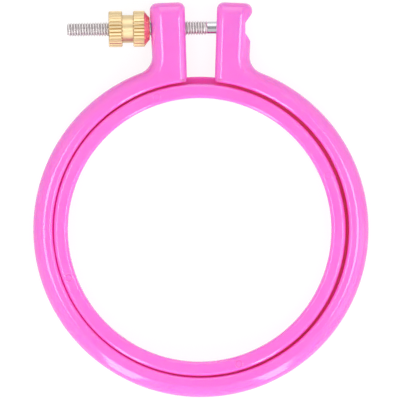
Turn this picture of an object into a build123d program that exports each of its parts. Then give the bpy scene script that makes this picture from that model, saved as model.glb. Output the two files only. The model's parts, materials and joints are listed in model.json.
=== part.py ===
# Screw-tightened embroidery hoop in moulded plastic, small size. Millimetres.
# The hoop lies flat with its face up: Z runs along the hoop's axis, the two clamp ears
# point along +Y and the screw lies along X. The origin is on the inner hoop's axis, at
# the back face that it rests on.
from build123d import *
from math import cos, radians, sin, tan
import os

os.makedirs("parts", exist_ok=True)

# Inner hoop: a closed ring with a flat lip round its back
opening_radius = 38.7
inner_wall = 4.2
hoop_depth = 9.4  # from the lip to the face, in both hoops
lip_thickness = 1.6
lip_reach = 2.2
mouth_chamfer = 0.7
seam_chamfer = 0.5
lip_chamfer = 0.4

# Outer hoop: a split ring round the inner one, with room for the fabric between them
fabric_clearance = 0.55
outer_wall = 5.85
shoulder_round = 3.3  # round the front
back_chamfer = 2.0
bore_chamfer = 0.5
slack_right_share = 0.7  # where the loose outer hoop lies, in shares of the clearance
slack_up_share = 0.22

# Ears: the split ring springs open, so their sides lean outwards
split_gap = 8.05  # between the ears, at the bore
ear_span = 27.9  # over both ears, at the bore
gap_lean = 1.8  # degrees
side_lean = 3.1
ear_rise = 17.35  # above the ring
ear_corner_round = 2.2
ear_root_round = 5.2
gap_round = 1.9

# Clamp screw: a hexagon head let into the right ear, a plain shank and a long thread
screw_rise = 10.1  # the axis above the ring
screw_tilt = 0.8  # degrees, because it lies askew in its holes
thread_diameter = 4.166
shank_diameter = 3.65
screw_length = 49.6  # under the head
shank_length = 8.2
head_across_flats = 6.35
head_height = 2.8
head_chamfer = 0.4
tip_chamfer = 0.6
hole_clearance = 0.12
head_clearance = 0.25
head_seat_gap = 0.1

# Recess round the head, which breaks out through the ear's rounded shoulders
recess_radius = 4.45
recess_depth = 1.75

# Knurled nut: two knurled bands with a smooth neck between them, and a conical nose
nut_radius = 5.3
neck_radius = 4.1
nose_radius = 3.2
outer_band_length = 4.0
neck_length = 3.2
inner_band_length = 3.2
nose_length = 1.65
band_chamfer = 0.3
countersink = 0.4
knurl_count = 30
knurl_depth = 0.32
thread_running_clearance = 0.05
nut_seat_gap = 0.05

overrun = 3.0  # how far the cuts run past the faces

# Sizes and places worked out from those above
inner_hoop_radius = opening_radius + inner_wall
lip_radius = inner_hoop_radius + lip_reach
face_height = lip_thickness + hoop_depth
bore_radius = inner_hoop_radius + fabric_clearance
ring_radius = bore_radius + outer_wall
slack_right = slack_right_share * fabric_clearance
slack_up = slack_up_share * fabric_clearance
ear_top = ring_radius + ear_rise
screw_line = ring_radius + screw_rise
screw_height = lip_thickness + hoop_depth / 2
thread_radius = thread_diameter / 2
shank_radius = shank_diameter / 2


def gap_side(height):
    # Half of the gap between the ears, at a height above the hoop's centre
    return split_gap / 2 + (height - bore_radius) * tan(radians(gap_lean))


def ear_side(height):
    # Half of the span over both ears, at a height above the hoop's centre
    return ear_span / 2 + (height - bore_radius) * tan(radians(side_lean))


def ear_end(across):
    # The ear's end stands square to the ear, so it falls away outwards
    middle = (gap_side(ear_top) + ear_side(ear_top)) / 2
    return ear_top - (across - middle) * tan(radians((gap_lean + side_lean) / 2))


# The head seats in the right ear, its face level with the recess's floor
recess_floor = ear_side(screw_line) - recess_depth
head_seat = recess_floor - head_height
nose_face = ear_side(screw_line + nose_radius) + nut_seat_gap
nut_seat = (head_seat + nose_face) / cos(radians(screw_tilt))
hole_radius = thread_radius + hole_clearance + nut_seat * sin(radians(screw_tilt))

# Inner hoop, turned about the hoop's axis
with BuildPart() as inner_hoop:
    with BuildSketch(Plane.XZ) as section:
        with BuildLine():
            Polyline(
                (opening_radius, 0),
                (lip_radius, 0),
                (lip_radius, lip_thickness),
                (inner_hoop_radius, lip_thickness),
                (inner_hoop_radius, face_height),
                (opening_radius, face_height),
                close=True,
            )
        make_face()
        mouth_corner, seam_corner = section.vertices().group_by(Axis.Y)[-1].sort_by(Axis.X)
        lip_corner = section.vertices().group_by(Axis.Y)[0].sort_by(Axis.X)[-1]
        chamfer(mouth_corner, mouth_chamfer)
        chamfer(seam_corner, seam_chamfer)
        chamfer(lip_corner, lip_chamfer)
    revolve(axis=Axis.Z)
inner_hoop.part.label = "inner_hoop"

# Outer hoop: ring, ears and gap are one outline, whose edges are then rounded
with BuildPart() as outer_hoop:
    with BuildSketch(Plane((slack_right, slack_up, lip_thickness))) as outline:
        Circle(ring_radius)
        with BuildLine():
            Polyline(
                (0, bore_radius),
                (0, ear_end(0)),
                (ear_side(ear_top), ear_end(ear_side(ear_top))),
                (ear_side(bore_radius), bore_radius),
                close=True,
            )
        make_face()
        mirror(about=Plane.YZ)
        Circle(bore_radius, mode=Mode.SUBTRACT)
        with BuildLine():
            Polyline(
                (-gap_side(0), 0),
                (gap_side(0), 0),
                (gap_side(ear_top + overrun), ear_top + overrun),
                (-gap_side(ear_top + overrun), ear_top + overrun),
                close=True,
            )
        make_face(mode=Mode.SUBTRACT)
        end_corners = outline.vertices().filter_by(lambda corner: corner.Y > screw_line)
        root_corners = outline.vertices().filter_by(lambda corner: bore_radius < corner.Y < screw_line)
        fillet(end_corners.sort_by(lambda corner: abs(corner.X))[-2:], ear_corner_round)
        fillet(root_corners, ear_root_round)
    extrude(amount=hoop_depth)

    # One turned cut bevels both edges of the bore
    middle = Plane((slack_right, slack_up, screw_height), (1, 0, 0), (0, -1, 0))
    with BuildSketch(middle):
        with BuildLine():
            Polyline(
                (bore_radius - overrun, hoop_depth / 2 - bore_chamfer - overrun),
                (bore_radius - overrun, hoop_depth / 2 + overrun),
                (bore_radius + bore_chamfer + overrun, hoop_depth / 2 + overrun),
                close=True,
            )
        make_face()
        mirror(about=Plane(middle.origin))
    revolve(axis=Axis(middle.origin, (0, 0, 1)), mode=Mode.SUBTRACT)

    def gap_edges(face):
        straight_edges = face.edges().filter_by(GeomType.LINE)
        return straight_edges.sort_by(lambda edge: abs(edge.center().X - slack_right))[:2]

    def outer_edges(face):
        arcs = face.edges().filter_by(GeomType.CIRCLE)
        bore_edges = arcs.filter_by(lambda arc: bore_radius < arc.radius < bore_radius + outer_wall / 2)
        return face.edges() - gap_edges(face) - bore_edges

    # The front's edges are round, the hidden back's are bevelled
    fillet(outer_edges(outer_hoop.faces().sort_by(Axis.Z)[-1]), shoulder_round)
    chamfer(outer_edges(outer_hoop.faces().sort_by(Axis.Z)[0]), back_chamfer)
    fillet(gap_edges(outer_hoop.faces().sort_by(Axis.Z)[-1]), gap_round)

    # Recess, head pocket and screw hole, cut from the right ear's side inwards
    hole_line = (slack_up + screw_line, screw_height)
    with BuildSketch(Plane((slack_right + recess_floor, *hole_line), (0, 1, 0), (1, 0, 0))):
        Circle(recess_radius)
    extrude(amount=recess_depth + overrun, mode=Mode.SUBTRACT)
    pocket_floor = head_seat - head_seat_gap
    with BuildSketch(Plane((slack_right + pocket_floor, *hole_line), (0, 1, 0), (1, 0, 0))):
        RegularPolygon(head_across_flats / 2 + head_clearance, 6, major_radius=False)
    extrude(amount=head_height + recess_depth, mode=Mode.SUBTRACT)
    with BuildSketch(Plane((slack_right + head_seat, *hole_line), (0, 1, 0), (1, 0, 0))):
        Circle(hole_radius)
    extrude(amount=-(head_seat + nose_face + overrun), mode=Mode.SUBTRACT)
outer_hoop.part.label = "outer_hoop"

# The screw and the nut share one axis, from the head's seat towards the head
screw_direction = (cos(radians(screw_tilt)), sin(radians(screw_tilt)), 0)
screw_origin = (slack_right + head_seat, slack_up + screw_line, screw_height)
screw_axis = Axis(screw_origin, screw_direction)
screw_plane = Plane(screw_origin, screw_direction, (0, 0, 1))

# Clamp screw
with BuildPart() as clamp_screw:
    with BuildSketch(screw_plane) as shaft:
        with BuildLine():
            Polyline(
                (0, 0),
                (0, shank_radius),
                (-shank_length, shank_radius),
                (-shank_length + shank_radius - thread_radius, thread_radius),
                (-screw_length, thread_radius),
                (-screw_length, 0),
                close=True,
            )
        make_face()
        tip_corners = shaft.vertices().group_by(Axis.X)[0]
        chamfer(tip_corners.sort_by(Axis.Y)[-1], tip_chamfer)
    revolve(axis=screw_axis)
    with BuildSketch(Plane(screw_origin, (-screw_direction[1], screw_direction[0], 0), screw_direction)):
        RegularPolygon(head_across_flats / 2, 6, major_radius=False)
    extrude(amount=head_height)
    chamfer(clamp_screw.faces().sort_by(screw_axis)[-1].edges(), head_chamfer)
clamp_screw.part.label = "clamp_screw"

# Knurled nut
neck_start = nut_seat + nose_length + inner_band_length
neck_end = neck_start + neck_length
nut_end = neck_end + outer_band_length
nut_bore_radius = thread_radius + thread_running_clearance
with BuildPart() as knurled_nut:
    with BuildSketch(screw_plane) as profile:
        with BuildLine():
            Polyline(
                (-nut_seat, nut_bore_radius),
                (-nut_seat, nose_radius),
                (-nut_seat - nose_length, nut_radius),
                (-neck_start, nut_radius),
                (-neck_start, neck_radius),
                (-neck_end, neck_radius),
                (-neck_end, nut_radius),
                (-nut_end, nut_radius),
                (-nut_end, nut_bore_radius),
                close=True,
            )
        make_face()
        chamfer(profile.vertices().group_by(Axis.Y)[-1].sort_by(Axis.X)[:-1], band_chamfer)
        chamfer(profile.vertices().group_by(Axis.Y)[0], countersink)
    revolve(axis=screw_axis)
    nut_face = Plane(
        screw_plane.from_local_coords((-nut_end, 0, 0)),
        (0, 0, 1),
        screw_direction,
    )
    with BuildSketch(nut_face):
        with PolarLocations(nut_radius, knurl_count):
            RegularPolygon(knurl_depth, 4)
    extrude(amount=nut_end - nut_seat, mode=Mode.SUBTRACT)
knurled_nut.part.label = "knurled_nut"

for piece in (inner_hoop, outer_hoop, clamp_screw, knurled_nut):
    export_step(piece.part, f"parts/{piece.part.label}.step")
    print(piece.part.label, piece.part.is_valid, round(piece.part.volume, 1))
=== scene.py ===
import json
from math import atan2, cos, hypot, pi, radians, sin, tan
import bmesh
import bpy
from mathutils import Matrix, Vector
from mathutils.geometry import intersect_line_line_2d


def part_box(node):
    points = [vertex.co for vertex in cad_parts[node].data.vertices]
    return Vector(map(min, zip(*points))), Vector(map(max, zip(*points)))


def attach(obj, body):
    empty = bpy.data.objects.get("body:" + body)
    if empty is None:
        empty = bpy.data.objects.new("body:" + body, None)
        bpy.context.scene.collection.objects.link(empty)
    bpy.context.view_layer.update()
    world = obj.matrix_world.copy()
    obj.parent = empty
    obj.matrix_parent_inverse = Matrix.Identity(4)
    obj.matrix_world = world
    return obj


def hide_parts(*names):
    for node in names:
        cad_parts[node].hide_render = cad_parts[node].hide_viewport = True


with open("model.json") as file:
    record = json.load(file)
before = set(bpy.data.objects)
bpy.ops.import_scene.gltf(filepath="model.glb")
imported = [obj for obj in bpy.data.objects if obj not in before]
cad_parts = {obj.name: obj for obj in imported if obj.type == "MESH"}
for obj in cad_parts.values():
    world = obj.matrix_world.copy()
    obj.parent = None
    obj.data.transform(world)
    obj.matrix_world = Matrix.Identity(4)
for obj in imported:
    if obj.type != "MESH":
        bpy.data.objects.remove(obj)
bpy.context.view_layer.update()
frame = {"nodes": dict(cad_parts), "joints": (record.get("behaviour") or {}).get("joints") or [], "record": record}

joints = {joint["name"]: joint for joint in frame["joints"]}
mounts = {mount["name"]: mount for mount in frame["record"]["mounts"]}
mm = 0.001
weld = 0.001 * mm  # points closer than this become one
sharpAngle = radians(32)  # steeper edges are shaded sharp

# The screw and the nut share this axis: local Z runs towards the screw's head, local Y is up
seat = Vector(joints["nut_turn"]["pos_m"])
alongScrew = Vector(joints["screw_feed"]["axis"]).normalized()
acrossScrew = Vector((0, 0, 1)).cross(alongScrew)
onScrew = Matrix.Translation(seat) @ Matrix((acrossScrew, (0, 0, 1), alongScrew)).transposed().to_4x4()


def alongSpan(node):
    # where a node of the clamp starts and ends along the screw's axis, from the head's seat
    places = [(vertex.co - seat).dot(alongScrew) for vertex in frame["nodes"][node].data.vertices]
    return min(places), max(places)


# Shader helpers


class Signal:
    # one output socket; sums, products and comparisons of signals add Math nodes
    def __init__(self, paint, socket):
        self.paint, self.socket = paint, socket

    def maths(self, operation, *terms):
        return self.paint.node("ShaderNodeMath", {"operation": operation}, dict(enumerate(terms)))

    def __add__(self, other):
        return self.maths("ADD", self, other)

    def __sub__(self, other):
        return self.maths("SUBTRACT", self, other)

    def __rsub__(self, other):
        return self.maths("SUBTRACT", other, self)

    def __mul__(self, other):
        return self.maths("MULTIPLY", self, other)

    __radd__ = __add__
    __rmul__ = __mul__

    def __abs__(self):
        return self.maths("ABSOLUTE", self)


class Paint:
    # the nodes of one material or of the world
    def __init__(self, data):
        data.use_nodes = True
        self.data, self.tree = data, data.node_tree
        self.tree.nodes.clear()

    def node(self, kind, settings={}, inputs={}, output=0):
        made = self.tree.nodes.new(kind)
        for name, value in settings.items():
            if name == "stops":
                for stop, (place, colour) in zip(made.color_ramp.elements, value):
                    stop.position, stop.color = place, colour
            else:
                setattr(made, name, value)
        for name, value in inputs.items():
            if isinstance(value, Signal):
                self.tree.links.new(value.socket, made.inputs[name])
            else:
                made.inputs[name].default_value = value
        return Signal(self, made.outputs[output]) if made.outputs else None

    def place(self):
        return self.node("ShaderNodeTexCoord", output="Object")

    def axes(self, vector):
        split = self.node("ShaderNodeSeparateXYZ", {}, {0: vector})
        return [Signal(self, socket) for socket in split.socket.node.outputs]

    def distance(self, x, y):
        square = x * x + y * y
        return square.maths("SQRT", square)

    def noise(self, vector, scale, detail=2.0):
        return self.node("ShaderNodeTexNoise", {}, {"Vector": vector, "Scale": scale, "Detail": detail})

    def blend(self, share, first, second):
        return self.node("ShaderNodeMix", {"data_type": "RGBA"}, {0: share, 6: first, 7: second}, 2)

    def step(self, value, low, high, start=0.0, end=1.0):
        inputs = {"Value": value, "From Min": low, "From Max": high, "To Min": start, "To Max": end}
        return self.node("ShaderNodeMapRange", {"interpolation_type": "SMOOTHSTEP"}, inputs)

    def bump(self, height, distance, normal=None):
        inputs = {"Height": height, "Distance": distance}
        if normal:
            inputs["Normal"] = normal
        return self.node("ShaderNodeBump", {}, inputs)

    def seen(self):
        # one where a ray comes from the camera, a reflection or a transmission
        outputs = self.node("ShaderNodeLightPath").socket.node.outputs
        kinds = ("Camera", "Glossy", "Transmission")
        camera, glossy, through = (Signal(self, outputs[f"Is {kind} Ray"]) for kind in kinds)
        return camera.maths("MAXIMUM", camera, glossy.maths("MAXIMUM", glossy, through))

    def surface(self, shader):
        self.node("ShaderNodeOutputMaterial", {}, {"Surface": shader})
        return self.data


def rgba(colour):
    return (*colour, 1.0)


# Materials

plastic = {
    "colour": (1.0, 0.189, 0.72),
    "deep": (0.99, 0.171, 0.695),
    # painted shade: a darker ring just inside the edge of each ejector mark
    "pinRingShade": (0.84, 0.10, 0.54),
    "slotShade": (1.0, 0.09, 0.62),  # painted shade: a deeper pink where the hoops face each other, in the slot between them
    # painted glow in that slot, standing in for light that passes through the plastic
    "slotPaintedGlow": (1.0, 0.0, 0.20),
    "slotPaintedGlowStrength": 0.025,
    "slotShadeReach": 0.45 * mm,
    "roughness": 0.07,
    "roughnessSpread": 0.03,
    "roughnessRange": (0.2, 0.8),
    "refraction": 1.6,
    "gloss": 0.6,
    "translucence": 0.6,
    "reach": (1.0, 0.10, 0.30),  # how far red, green and blue light travel inside
    "reachScale": 3.0 * mm,
    "grain": 1400.0,  # the mould's fine texture, in waves a metre
    "grainDepth": 0.0006 * mm,
    "flow": 55.0,
    "flowRange": (0.35, 0.7),
    "markRadius": 1.1 * mm,
    "markEdge": (0.84, 1.1),  # in shares of the mark's radius
    "markShadeRing": (0.6, 0.9),
    "markDepth": 0.10 * mm,
    "markHeight": 10.2 * mm,  # the marks are above this
    "markBlend": 0.5 * mm,
    "partingWidth": 0.05 * mm,
    "partingHeight": 0.03 * mm,
}

# Ejector pins' marks on the inner hoop's face: distance from the axis, angle and how clear they are
pinMarks = [
    (41.0 * mm, 200.1, 1.0),
    (41.0 * mm, 286.4, 1.0),
    (41.0 * mm, 107.8, 0.4),
    (41.0 * mm, 23.0, 0.4),
]


def hoopPlastic(name, centre, wall, outwards, marks=(), partingHeight=None):
    # wall: the radius of the side that faces the other hoop, which is outwards (1) or inwards (-1)
    paint = Paint(bpy.data.materials.new(name))
    place = paint.place()
    x, y, z = paint.axes(place)
    flow = paint.noise(place, plastic["flow"], detail=3.0)
    grain = paint.noise(place, plastic["grain"])
    deeper = paint.step(flow, *plastic["flowRange"])
    colour = paint.blend(deeper, rgba(plastic["colour"]), rgba(plastic["deep"]))
    normal = paint.bump(grain, plastic["grainDepth"])
    # painted shade and painted glow: near the side that faces the other hoop the colour turns a deeper pink and
    # the surface glows
    inside = (wall - paint.distance(x - centre[0], y - centre[1])) * outwards
    slotShadeAndGlow = paint.step(inside, 0.0, plastic["slotShadeReach"], 1.0, 0.0)
    colour = paint.blend(slotShadeAndGlow, colour, rgba(plastic["slotShade"]))
    edgeStart, edgeEnd = (share * plastic["markRadius"] for share in plastic["markEdge"])
    ringStart, ringEnd = (share * plastic["markRadius"] for share in plastic["markShadeRing"])
    for distance, angle, clear in marks:
        markPlace = (distance * cos(radians(angle)), distance * sin(radians(angle)))
        away = paint.distance(x - markPlace[0], y - markPlace[1])
        onFace = paint.step(z, plastic["markHeight"], plastic["markHeight"] + plastic["markBlend"])
        disc = paint.step(away, edgeStart, edgeEnd, clear, 0.0) * onFace
        normal = paint.bump(disc, plastic["markDepth"], normal)
        # painted shade: the ring just inside each mark's edge turns darker
        ring = paint.step(away, ringStart, ringEnd) * disc
        colour = paint.blend(ring, colour, rgba(plastic["pinRingShade"]))
    if partingHeight:
        width = plastic["partingWidth"]
        line = paint.step(abs(z - partingHeight), width, 2 * width, 1.0, 0.0)
        normal = paint.bump(line, plastic["partingHeight"], normal)
    smoothest, roughest = plastic["roughness"], plastic["roughness"] + plastic["roughnessSpread"]
    inputs = {
        "Base Color": colour,
        "Roughness": paint.step(flow, *plastic["roughnessRange"], smoothest, roughest),
        "Normal": normal,
        "IOR": plastic["refraction"],
        "Specular IOR Level": plastic["gloss"],
        "Subsurface Weight": plastic["translucence"],
        "Subsurface Radius": plastic["reach"],
        "Subsurface Scale": plastic["reachScale"],
        # the painted glow in the slot between the hoops
        "Emission Color": paint.blend(slotShadeAndGlow, rgba((0.0, 0.0, 0.0)), rgba(plastic["slotPaintedGlow"])),
        "Emission Strength": plastic["slotPaintedGlowStrength"],
    }
    return paint.surface(paint.node("ShaderNodeBsdfPrincipled", {}, inputs))


def screwPlace(paint):
    # the place in the screw's own frame
    return paint.node("ShaderNodeMapping", {"vector_type": "TEXTURE"}, {
        "Vector": paint.place(),
        "Location": seat,
        "Rotation": onScrew.to_euler(),
    })


steel = {
    "shank": (0.55, 0.55, 0.58),
    "shankRoughness": 0.10,
    "thread": (0.80, 0.77, 0.77),
    "threadRoughness": 0.38,
    # painted shade: the thread's grooves are darker towards their roots
    "grooveShade": (0.56, 0.52, 0.53),
    "grooveShadeTop": 0.6,  # where the painted shade ends, from the root to the crest
    "scratches": 900.0,
    "scratchStretch": (1.0, 1.0, 0.12),
    "scratchRange": (0.3, 0.75),
    "scratchDepth": 0.0006 * mm,
    "scratchRoughness": 0.06,
    "threadBlend": 0.3 * mm,
}


def screwSteel(rootRadius, crestRadius):
    paint = Paint(bpy.data.materials.new("screwSteel"))
    local = screwPlace(paint)
    x, y, z = paint.axes(local)
    reach = paint.distance(x, y)
    # painted shade in the thread's grooves, darkest at the root
    grooveEnd = rootRadius + steel["grooveShadeTop"] * (crestRadius - rootRadius)
    depth = paint.step(reach, rootRadius, grooveEnd, 1.0, 0.0)
    drawn = paint.node("ShaderNodeMapping", {}, {"Vector": local, "Scale": steel["scratchStretch"]})
    scratches = paint.step(paint.noise(drawn, steel["scratches"], detail=4.0), *steel["scratchRange"])
    threadStart = -clampScrew["shankLength"]
    rolled = paint.step(z, threadStart - steel["threadBlend"], threadStart, 1.0, 0.0)
    thread = paint.blend(depth, rgba(steel["thread"]), rgba(steel["grooveShade"]))
    roughness = steel["shankRoughness"] + rolled * (steel["threadRoughness"] - steel["shankRoughness"])
    inputs = {
        "Base Color": paint.blend(rolled, rgba(steel["shank"]), thread),
        "Metallic": 1.0,
        "Roughness": roughness + scratches * steel["scratchRoughness"],
        "Normal": paint.bump(scratches, steel["scratchDepth"]),
    }
    return paint.surface(paint.node("ShaderNodeBsdfPrincipled", {}, inputs))


brass = {
    "colour": (0.71, 0.56, 0.33),
    # painted shade: the knurl's grooves are darker
    "grooveShade": (0.55, 0.39, 0.20),
    "stain": (0.68, 0.53, 0.30),
    # painted reflection: the nose cone gets a brighter brass than the rest of the nut
    "nose": (0.92, 0.66, 0.36),
    "stainScale": 320.0,
    "stainRange": (0.5, 0.8),
    "stainShare": 0.5,
    "roughness": 0.36,
    "roughnessSpread": 0.04,
    "nosePolish": 0.22,
    "noseBlend": 0.2 * mm,
    "bandBlend": (0.3 * mm, 0.1 * mm),  # under the grooves
    "turning": 2600.0,
    "turningStretch": (0.15, 0.15, 1.0),
    "turningRange": (0.3, 0.7),
    "turningDepth": 0.0003 * mm,
}


def nutBrass(grooveRadius, crestRadius, noseStart):
    paint = Paint(bpy.data.materials.new("nutBrass"))
    local = screwPlace(paint)
    x, y, z = paint.axes(local)
    reach = paint.distance(x, y)
    # painted shade in the knurl's grooves
    grooveShade = paint.step(reach, grooveRadius, crestRadius, 1.0, 0.0)
    onBand = paint.step(reach, *(grooveRadius - under for under in brass["bandBlend"]))
    turned = paint.node("ShaderNodeMapping", {}, {"Vector": local, "Scale": brass["turningStretch"]})
    turning = paint.noise(turned, brass["turning"], detail=3.0)
    cloudy = paint.noise(local, brass["stainScale"], detail=3.0)
    stain = paint.step(cloudy, *brass["stainRange"], 0.0, brass["stainShare"])
    onNose = paint.step(z, noseStart, noseStart + brass["noseBlend"])
    smoothest, roughest = brass["roughness"], brass["roughness"] + brass["roughnessSpread"]
    roughness = paint.step(turning, *brass["turningRange"], smoothest, roughest)
    worn = paint.blend(stain, rgba(brass["colour"]), rgba(brass["stain"]))
    body = paint.blend(grooveShade * onBand, worn, rgba(brass["grooveShade"]))
    inputs = {
        # painted reflection: the nose cone's colour is a brighter brass; its roughness is lower too
        "Base Color": paint.blend(onNose, body, rgba(brass["nose"])),
        "Metallic": 1.0,
        "Roughness": roughness - onNose * brass["nosePolish"],
        "Normal": paint.bump(turning * (1 - onBand), brass["turningDepth"]),
    }
    return paint.surface(paint.node("ShaderNodeBsdfPrincipled", {}, inputs))


# Mesh helpers


def roundCorner(bm, vert, radius, steps):
    # for right-angled corners, where the arc starts one radius from the corner
    bmesh.ops.bevel(
        bm, geom=[vert], offset=radius, affect="VERTICES",
        segments=steps, profile=0.5, material=-1,
    )


def spinPoint(bm, vert, centre, angle, steps):
    turned = bmesh.ops.spin(bm, geom=[vert], cent=centre, axis=(0, 0, 1), angle=angle, steps=steps)
    return turned["geom_last"][0]


def drawTo(bm, vert, point, bareStart=0.0, bareEnd=0.0):
    # a straight line, with points along it except near the ends that are rounded off
    start, end = vert.co.copy(), Vector((*point, 0))
    length = (end - start).length
    steps = int(max(0.0, length - bareStart - bareEnd) / outerHoop["sidePitch"])
    places = [(bareStart + step * outerHoop["sidePitch"]) / length for step in range(1, steps)]
    for place in places + [1.0]:
        vert, last = bm.verts.new(start.lerp(end, place)), vert
        bm.edges.new((last, vert))
    return vert


def toObject(bm, name):
    mesh = bpy.data.meshes.new(name)
    bm.to_mesh(mesh)
    bm.free()
    made = bpy.data.objects.new(name, mesh)
    bpy.context.scene.collection.objects.link(made)
    return made


def settled(piece):
    # the piece's modifiers become its mesh
    graph = bpy.context.evaluated_depsgraph_get()
    mesh = bpy.data.meshes.new_from_object(piece.evaluated_get(graph))
    piece.modifiers.clear()
    piece.data = mesh


def finishPiece(piece, material, body):
    piece.data.materials.clear()
    piece.data.materials.append(material)
    piece.data.shade_smooth()
    piece.data.set_sharp_from_angle(angle=sharpAngle)
    weighted = piece.modifiers.new("weightedNormals", "WEIGHTED_NORMAL")
    weighted.keep_sharp = True
    weighted.weight = 100
    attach(piece, body)
    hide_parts(body)
    print(piece.name, "has", len(piece.data.polygons), "faces")


# Inner hoop: one section, turned about Z

innerHoop = {
    "wall": 4.2 * mm,
    "lipThickness": 1.6 * mm,
    "mouthRound": 1.05 * mm,
    "seamRound": 1.05 * mm,
    "lipRound": 0.6 * mm,
    "roundSteps": 6,
    "turnSteps": 360,
}


def makeInnerHoop():
    low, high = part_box("inner_hoop")
    opening = mounts["work_opening"]["dims"]["r_mm"] * mm
    wall = opening + innerHoop["wall"]
    lipTop = low.z + innerHoop["lipThickness"]
    corners = [
        (opening, low.z), (high.x, low.z), (high.x, lipTop),
        (wall, lipTop), (wall, high.z), (opening, high.z),
    ]
    bm = bmesh.new()
    section = bm.faces.new([bm.verts.new((x, 0, z)) for x, z in corners])
    verts = list(section.verts)
    for place, key in ((5, "mouthRound"), (4, "seamRound"), (2, "lipRound"), (1, "lipRound")):
        roundCorner(bm, verts[place], innerHoop[key], innerHoop["roundSteps"])
    bmesh.ops.delete(bm, geom=list(bm.faces), context="FACES_ONLY")
    bmesh.ops.spin(
        bm, geom=bm.verts[:] + bm.edges[:], cent=(0, 0, 0), axis=(0, 0, 1),
        angle=2 * pi, steps=innerHoop["turnSteps"], use_merge=True,
    )
    bmesh.ops.recalc_face_normals(bm, faces=bm.faces)
    piece = toObject(bm, "innerHoop")
    material = hoopPlastic("innerHoopPlastic", (0.0, 0.0), wall, 1, pinMarks)
    finishPiece(piece, material, "inner_hoop")


# Outer hoop: half an outline, mirrored, extruded and rounded, then cut for the screw

outerHoop = {
    "wall": 5.85 * mm,
    "splitGap": 8.05 * mm,
    "earSpan": 27.9 * mm,
    "gapLean": 1.8,  # degrees
    "sideLean": 3.1,
    "earRise": 17.35 * mm,
    "rootRound": 5.2 * mm,
    "shoulderRound": 3.6 * mm,
    "gapRound": 2.1 * mm,
    "cornerRound": 2.2 * mm,
    "boreRound": 1.05 * mm,
    "roundSteps": 8,
    "ringSteps": 180,
    "rootSteps": 12,
    "sidePitch": 0.9 * mm,
    "bareEnd": 5.0 * mm,
    "recessRadius": 4.45 * mm,
    "recessDepth": 1.75 * mm,
    "pocketRadius": 3.425 * mm,
    "pocketGap": 0.1 * mm,
    "holeRadius": 2.55 * mm,
    "recessSteps": 96,
    "holeSteps": 48,
    "recessOverrun": 10 * mm,  # how far its cutter runs past its floor
    "overrun": 1.0 * mm,  # the other cutters'
    "foldAngle": 30,  # edges flatter than this stay as they are
    "gapMargin": 0.02 * mm,  # how near an edge lies to the gap's side or the bore
    "boreMargin": 0.05 * mm,
}


def lineMeetsCircle(offset, lean, radius):
    # the upper point where the line x = offset + y * lean meets a circle round the origin
    square = 1 + lean * lean
    root = ((offset * lean) ** 2 - square * (offset * offset - radius * radius)) ** 0.5
    y = (root - offset * lean) / square
    return Vector((offset + y * lean, y))


def halfOutline(ring, bore):
    gapLean, sideLean = tan(radians(outerHoop["gapLean"])), tan(radians(outerHoop["sideLean"]))
    gapOffset = outerHoop["splitGap"] / 2 - bore * gapLean
    sideOffset = outerHoop["earSpan"] / 2 - bore * sideLean
    top = ring + outerHoop["earRise"]
    gapTop = Vector((gapOffset + top * gapLean, top))
    sideTop = Vector((sideOffset + top * sideLean, top))
    middle = (gapTop + sideTop) / 2
    square = Vector((1, -tan(radians(outerHoop["gapLean"] + outerHoop["sideLean"]) / 2)))
    gapFoot = lineMeetsCircle(gapOffset, gapLean, bore)
    sideFoot = lineMeetsCircle(sideOffset, sideLean, ring)
    endLine = (middle - square * top, middle + square * top)
    gapCorner = intersect_line_line_2d(gapFoot, gapTop * 2 - gapFoot, *endLine)
    sideCorner = intersect_line_line_2d(sideFoot, sideTop * 2 - sideFoot, *endLine)
    root = outerHoop["rootRound"]
    rootOffset = sideOffset + root / cos(radians(outerHoop["sideLean"]))
    rootCentre = lineMeetsCircle(rootOffset, sideLean, ring + root)
    rootAngle = atan2(rootCentre.y, rootCentre.x)
    sideAngle = pi - radians(outerHoop["sideLean"])
    rootStart = rootCentre + root * Vector((cos(sideAngle), sin(sideAngle)))

    bm = bmesh.new()
    pen = bm.verts.new((0, -bore, 0))
    pen = spinPoint(bm, pen, (0, 0, 0), atan2(gapFoot.y, gapFoot.x) + pi / 2, outerHoop["ringSteps"])
    bare = outerHoop["bareEnd"]
    pen = drawTo(bm, pen, gapCorner, bare, bare)
    pen = drawTo(bm, pen, sideCorner, bare, bare)
    pen = drawTo(bm, pen, rootStart, bare)
    pen = spinPoint(bm, pen, (*rootCentre, 0), rootAngle + pi - sideAngle, outerHoop["rootSteps"])
    spinPoint(bm, pen, (0, 0, 0), -rootAngle - pi / 2, outerHoop["ringSteps"])
    return bm


def cutter(name, radius, segments, start, end):
    # a prism along X at the screw's height, from start to end
    bm = bmesh.new()
    bmesh.ops.create_cone(
        bm, cap_ends=True, segments=segments, radius1=radius, radius2=radius, depth=end - start,
    )
    turned = Matrix.Translation(((start + end) / 2, seat.y, seat.z)) @ Matrix.Rotation(pi / 2, 4, "Y")
    bmesh.ops.transform(bm, matrix=turned, verts=bm.verts)
    return toObject(bm, name)


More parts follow.
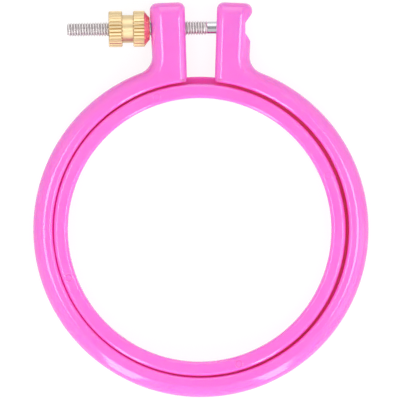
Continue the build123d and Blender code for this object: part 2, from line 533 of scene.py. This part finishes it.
def makeOuterHoop():
    low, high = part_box("outer_hoop")
    ring = (high.x - low.x) / 2
    bore = ring - outerHoop["wall"]
    centre = Vector(((low.x + high.x) / 2, low.y + ring, low.z))
    bm = halfOutline(ring, bore)
    bmesh.ops.contextual_create(bm, geom=bm.verts[:] + bm.edges[:])
    bmesh.ops.mirror(bm, geom=bm.verts[:] + bm.edges[:] + bm.faces[:], axis="X", merge_dist=weld)
    bmesh.ops.recalc_face_normals(bm, faces=bm.faces)
    raised = bmesh.ops.extrude_face_region(bm, geom=bm.faces[:])
    lifted = [item for item in raised["geom"] if isinstance(item, bmesh.types.BMVert)]
    bmesh.ops.translate(bm, verts=lifted, vec=(0, 0, high.z - low.z))
    bmesh.ops.recalc_face_normals(bm, faces=bm.faces)

    # each edge's round, as a share of the shoulder's
    weights = bm.edges.layers.float.new("bevel_weight_edge")
    gapLean = tan(radians(outerHoop["gapLean"]))
    gapOffset = outerHoop["splitGap"] / 2 - bore * gapLean
    for edge in bm.edges:
        mid = (edge.verts[0].co + edge.verts[1].co) / 2
        upright = abs(edge.verts[0].co.z - edge.verts[1].co.z) > mm
        onGap = mid.y > 0 and abs(abs(mid.x) - gapOffset - mid.y * gapLean) < outerHoop["gapMargin"]
        onBore = abs(hypot(mid.x, mid.y) - bore) < outerHoop["boreMargin"]
        if edge.calc_face_angle() < radians(outerHoop["foldAngle"]):
            size = None
        elif upright and mid.y > ring + mm:
            size = "gapRound" if onGap else "cornerRound"
        elif upright:
            size = "boreRound"
        else:
            size = "gapRound" if onGap else "boreRound" if onBore else "shoulderRound"
        edge[weights] = outerHoop[size] / outerHoop["shoulderRound"] if size else 0.0
    bmesh.ops.translate(bm, verts=bm.verts, vec=centre)
    piece = toObject(bm, "outerHoop")
    rounds = piece.modifiers.new("rounds", "BEVEL")
    rounds.limit_method = "WEIGHT"
    rounds.width = outerHoop["shoulderRound"]
    rounds.segments = outerHoop["roundSteps"]
    rounds.use_clamp_overlap = False

    across = outerHoop["earSpan"] / 2 + (seat.y - centre.y - bore) * tan(radians(outerHoop["sideLean"]))
    recessFloor = centre.x + across - outerHoop["recessDepth"]
    pocketFloor = seat.x - outerHoop["pocketGap"]
    recessEnd, overrun = recessFloor + outerHoop["recessOverrun"], outerHoop["overrun"]
    pocketRadius = outerHoop["pocketRadius"] / cos(pi / 6)
    holeStart, holeEnd = centre.x - across - overrun, seat.x + overrun
    cutters = [
        cutter("recess", outerHoop["recessRadius"], outerHoop["recessSteps"], recessFloor, recessEnd),
        cutter("pocket", pocketRadius, 6, pocketFloor, recessFloor + overrun),
        cutter("hole", outerHoop["holeRadius"], outerHoop["holeSteps"], holeStart, holeEnd),
    ]
    for tool in cutters:
        cut = piece.modifiers.new(tool.name, "BOOLEAN")
        cut.operation = "DIFFERENCE"
        cut.object = tool
    settled(piece)
    for tool in cutters:
        bpy.data.objects.remove(tool)
    material = hoopPlastic("outerHoopPlastic", centre, bore, -1, partingHeight=(low.z + high.z) / 2)
    finishPiece(piece, material, "outer_hoop")


# Clamp screw: a turned blank with a rolled thread, and a hexagon head

clampScrew = {
    "threadRadius": 2.083 * mm,
    "shankRadius": 1.825 * mm,
    "rootRadius": 1.61 * mm,
    "pitch": 0.79375 * mm,
    "crestShare": 0.2,
    "fadeShare": 0.25,
    "shankLength": 8.2 * mm,
    "tipChamfer": 0.6 * mm,
    "runOut": 1.0 * mm,
    "headAcrossFlats": 6.35 * mm,
    "headChamfer": 0.4 * mm,
    "flankAngle": 30,  # degrees
    "ridgeSunk": 0.1 * mm,  # the ridge starts below the blank's surface
    "blankOverlap": 0.3 * mm,  # the blank runs into the head
    "threadSteps": 36,
    "turnSteps": 64,
    "headSteps": 2,
}


def makeClampScrew():
    tip, headTop = alongSpan("clamp_screw")
    shank, root, crest = clampScrew["shankRadius"], clampScrew["rootRadius"], clampScrew["threadRadius"]
    threadStart = -clampScrew["shankLength"]
    chamfer, pitch = clampScrew["tipChamfer"], clampScrew["pitch"]
    bm = bmesh.new()

    # blank
    overlap = clampScrew["blankOverlap"]
    profile = [
        (0, overlap), (shank, overlap), (shank, threadStart), (root, threadStart - clampScrew["runOut"]),
        (root, tip + chamfer / 2), (root - chamfer / 2, tip), (0, tip),
    ]
    points = [bm.verts.new((x, 0, z)) for x, z in profile]
    edges = [bm.edges.new(pair) for pair in zip(points, points[1:])]
    bmesh.ops.spin(
        bm, geom=points + edges, cent=(0, 0, 0), axis=(0, 0, 1), angle=2 * pi,
        steps=clampScrew["turnSteps"], use_merge=True,
    )
    bmesh.ops.remove_doubles(bm, verts=bm.verts, dist=weld)

    # thread ridge: one turn is wound up from the tip, then the turns are stacked
    crestHalf = clampScrew["crestShare"] * pitch / 2
    footHalf = crestHalf + (crest - root) * tan(radians(clampScrew["flankAngle"]))
    sunk = root - clampScrew["ridgeSunk"]
    shape = [
        (sunk, -footHalf), (root, -footHalf), (crest, -crestHalf),
        (crest, crestHalf), (root, footHalf), (sunk, footHalf),
    ]
    ridge = bmesh.new()
    points = [ridge.verts.new((x, 0, tip - footHalf + z)) for x, z in shape]
    edges = [ridge.edges.new(pair) for pair in zip(points, points[1:] + points[:1])]
    steps, turns = clampScrew["threadSteps"], round((threadStart - tip) / pitch) + 1
    bmesh.ops.spin(
        ridge, geom=points + edges, cent=(0, 0, 0), axis=(0, 0, 1), angle=2 * pi, steps=steps,
        dvec=(0, 0, pitch / steps),
    )
    bmesh.ops.spin(
        ridge, geom=ridge.verts[:] + ridge.edges[:] + ridge.faces[:], cent=(0, 0, 0), axis=(0, 0, 1),
        angle=2 * pi * (turns - 1), steps=turns - 1, dvec=(0, 0, pitch), use_duplicate=True,
    )
    bmesh.ops.remove_doubles(ridge, verts=ridge.verts, dist=weld)
    bmesh.ops.holes_fill(ridge, edges=ridge.edges, sides=len(shape))
    for vert in ridge.verts:
        fade = min(1.0, max(0.0, (threadStart - vert.co.z) / pitch + clampScrew["fadeShare"]))
        limit = min(sunk + (crest - sunk) * fade, crest - chamfer + max(0.0, vert.co.z - tip))
        vert.co.xy *= min(1.0, limit / hypot(vert.co.x, vert.co.y))
        vert.co.z = max(vert.co.z, tip)
    wound = bpy.data.meshes.new("ridge")
    ridge.to_mesh(wound)
    ridge.free()
    bm.from_mesh(wound)

    # hexagon head
    headRadius = clampScrew["headAcrossFlats"] / 2 / cos(pi / 6)
    head = bmesh.ops.create_cone(
        bm, cap_ends=True, segments=6, radius1=headRadius, radius2=headRadius, depth=headTop,
        matrix=Matrix.Translation((0, 0, headTop / 2)) @ Matrix.Rotation(pi / 6, 4, "Z"),
    )
    headEdges = {edge for vert in head["verts"] for edge in vert.link_edges}
    topEdges = [edge for edge in headEdges if min(vert.co.z for vert in edge.verts) > headTop / 2]
    bmesh.ops.bevel(
        bm, geom=topEdges, offset=clampScrew["headChamfer"], affect="EDGES",
        segments=clampScrew["headSteps"], profile=0.5, material=-1,
    )
    bmesh.ops.recalc_face_normals(bm, faces=bm.faces)
    bmesh.ops.transform(bm, matrix=onScrew, verts=bm.verts)
    finishPiece(toObject(bm, "clampScrew"), screwSteel(root, crest), "clamp_screw")


# Knurled nut: one ring of points, extruded along the screw through every step of its profile

knurledNut = {
    "bandRadius": 5.3 * mm,
    "neckRadius": 4.1 * mm,
    "noseRadius": 3.2 * mm,
    "boreRadius": 2.133 * mm,
    "noseLength": 1.65 * mm,
    "innerBand": 3.2 * mm,
    "neck": 3.2 * mm,
    "chamfer": 0.3 * mm,
    "countersink": 0.4 * mm,
    "teeth": 30,
    "toothPoints": 12,
    "grooveDepth": 0.32 * mm,
    "grooveShare": 0.46,
    "grooveCurve": 0.8,
}


def toothedReach(angle):
    share = angle / (2 * pi) * knurledNut["teeth"]
    away = abs(share - round(share)) / (knurledNut["grooveShare"] / 2)
    depth = knurledNut["grooveDepth"] * max(0.0, 1 - away) ** knurledNut["grooveCurve"]
    return knurledNut["bandRadius"] - depth


def makeKnurledNut():
    outer, nose = alongSpan("knurled_nut")
    band, neck, bore = knurledNut["bandRadius"], knurledNut["neckRadius"], knurledNut["boreRadius"]
    chamfer, sink = knurledNut["chamfer"], knurledNut["countersink"]
    bandStart = nose - knurledNut["noseLength"]
    neckStart = bandStart - knurledNut["innerBand"]
    neckEnd = neckStart - knurledNut["neck"]
    profile = [
        (nose - sink, bore), (nose, bore + sink), (nose, knurledNut["noseRadius"]), (bandStart, band),
        (neckStart + chamfer, band), (neckStart, band - chamfer), (neckStart, neck), (neckEnd, neck),
        (neckEnd, band - chamfer), (neckEnd - chamfer, band), (outer + chamfer, band),
        (outer, band - chamfer), (outer, bore + sink), (outer + sink, bore),
    ]
    bm = bmesh.new()
    count = knurledNut["teeth"] * knurledNut["toothPoints"]
    start = bmesh.ops.create_circle(bm, segments=count, radius=1.0)["verts"]
    loop = {edge for vert in start for edge in vert.link_edges}

    def shape(verts, height, radius):
        for vert in verts:
            angle = atan2(vert.co.x, vert.co.y)
            reach = min(radius, toothedReach(angle))
            vert.co = (reach * sin(angle), reach * cos(angle), height)

    shape(start, *profile[0])
    first = list(loop)
    for height, radius in profile[1:]:
        grown = bmesh.ops.extrude_edge_only(bm, edges=list(loop))["geom"]
        edges = [item for item in grown if isinstance(item, bmesh.types.BMEdge)]
        loop = [edge for edge in edges if len(edge.link_faces) == 1]
        shape({vert for edge in loop for vert in edge.verts}, height, radius)
    bmesh.ops.bridge_loops(bm, edges=first + list(loop))
    bmesh.ops.recalc_face_normals(bm, faces=bm.faces)
    bmesh.ops.transform(bm, matrix=onScrew, verts=bm.verts)
    material = nutBrass(band - knurledNut["grooveDepth"], band, bandStart)
    finishPiece(toObject(bm, "knurledNut"), material, "knurled_nut")


makeInnerHoop()
makeOuterHoop()
makeClampScrew()
makeKnurledNut()
print("pieces are made")

# Studio

studio = {
    "floorSize": 3.0,
    "floorDrop": 0.02 * mm,
    "floorColour": (0.80, 0.80, 0.80),
    "floorSeen": (0.22, 0.22, 0.22),
    "floorGlow": 0.84,
    "worldLight": 0.60,
    "overhead": 0.45,
    "overheadFrom": 26,  # degrees from straight up
    "overheadTo": 12,
    "lampTarget": (0, 6 * mm, 5 * mm),
    "lampDistance": 1.0,
    "bounces": 48,
}

# Soft lamps aimed at the hoop: direction, degrees from overhead, width, length and radiance
lamps = [
    ("rightStrip", 0, 15.2, 0.26, 0.31, 4.4),
    ("leftStrip", 180, 15.2, 0.26, 0.31, 4.4),
    ("lowerLeftBox", 241, 57, 0.20, 1.1, 4.6),
    ("lowerRightBox", 297, 57, 0.16, 1.1, 4.3),
    ("rightBox", 345, 60, 0.60, 0.8, 0.7),
    ("backBox", 90, 62, 0.40, 0.7, 1.2),
]


def makeFloor():
    bm = bmesh.new()
    bmesh.ops.create_grid(bm, x_segments=1, y_segments=1, size=studio["floorSize"] / 2)
    bmesh.ops.translate(bm, verts=bm.verts, vec=(0, 0, -studio["floorDrop"]))
    floor = toObject(bm, "floor")
    paint = Paint(bpy.data.materials.new("floorPaper"))
    seen = paint.seen()
    plain = paint.node("ShaderNodeBsdfDiffuse", {}, {"Color": rgba(studio["floorColour"])})
    dim = paint.node("ShaderNodeBsdfDiffuse", {}, {"Color": rgba(studio["floorSeen"])})
    glow = paint.node("ShaderNodeEmission", {}, {"Color": (1, 1, 1, 1), "Strength": studio["floorGlow"]})
    lit = paint.node("ShaderNodeAddShader", {}, {0: dim, 1: glow})
    shader = paint.node("ShaderNodeMixShader", {}, {0: seen, 1: plain, 2: lit})
    floor.data.materials.append(paint.surface(shader))


def makeLamps():
    target = Vector(studio["lampTarget"])
    for name, azimuth, lean, width, length, radiance in lamps:
        light = bpy.data.lights.new(name, "AREA")
        light.shape = "RECTANGLE"
        light.size, light.size_y = width, length
        light.energy = radiance * pi * width * length
        lamp = bpy.data.objects.new(name, light)
        bpy.context.scene.collection.objects.link(lamp)
        across, up = sin(radians(lean)), cos(radians(lean))
        offset = Vector((across * cos(radians(azimuth)), across * sin(radians(azimuth)), up))
        lamp.location = target + offset * studio["lampDistance"]
        lamp.rotation_euler = offset.to_track_quat("Z", "Y").to_euler()


def makeWorld():
    world = bpy.data.worlds.new("studioWorld")
    bpy.context.scene.world = world
    paint = Paint(world)
    height = paint.axes(paint.node("ShaderNodeTexCoord", output="Generated"))[2]
    seen = paint.seen()
    around = seen.maths("MAXIMUM", seen, studio["worldLight"])
    starts, ends = cos(radians(studio["overheadFrom"])), cos(radians(studio["overheadTo"]))
    strength = paint.step(height, starts, ends, around, studio["overhead"])
    background = paint.node("ShaderNodeBackground", {}, {"Color": (1, 1, 1, 1), "Strength": strength})
    paint.node("ShaderNodeOutputWorld", {}, {"Surface": background})


view = {
    "centre": (0.12 * mm, 8.79 * mm),
    "width": 117.6 * mm,  # what the photograph's 400 pixels span
    "distance": 3.0,  # above the screw's height
    "clipEnd": 20,
}


def makeCamera():
    data = bpy.data.cameras.new("camera")
    data.lens = data.sensor_width * view["distance"] / view["width"]
    data.clip_end = view["clipEnd"]
    camera = bpy.data.objects.new("camera", data)
    camera.location = (*view["centre"], seat.z + view["distance"])
    bpy.context.scene.collection.objects.link(camera)
    bpy.context.scene.camera = camera


makeFloor()
makeLamps()
makeWorld()
makeCamera()
bpy.context.scene.view_settings.view_transform = "Standard"
# The plastic passes on most red light, so many bounces reach the bottom of the slot between the hoops
bpy.context.scene.cycles.max_bounces = bpy.context.scene.cycles.diffuse_bounces = studio["bounces"]
print("studio is ready")
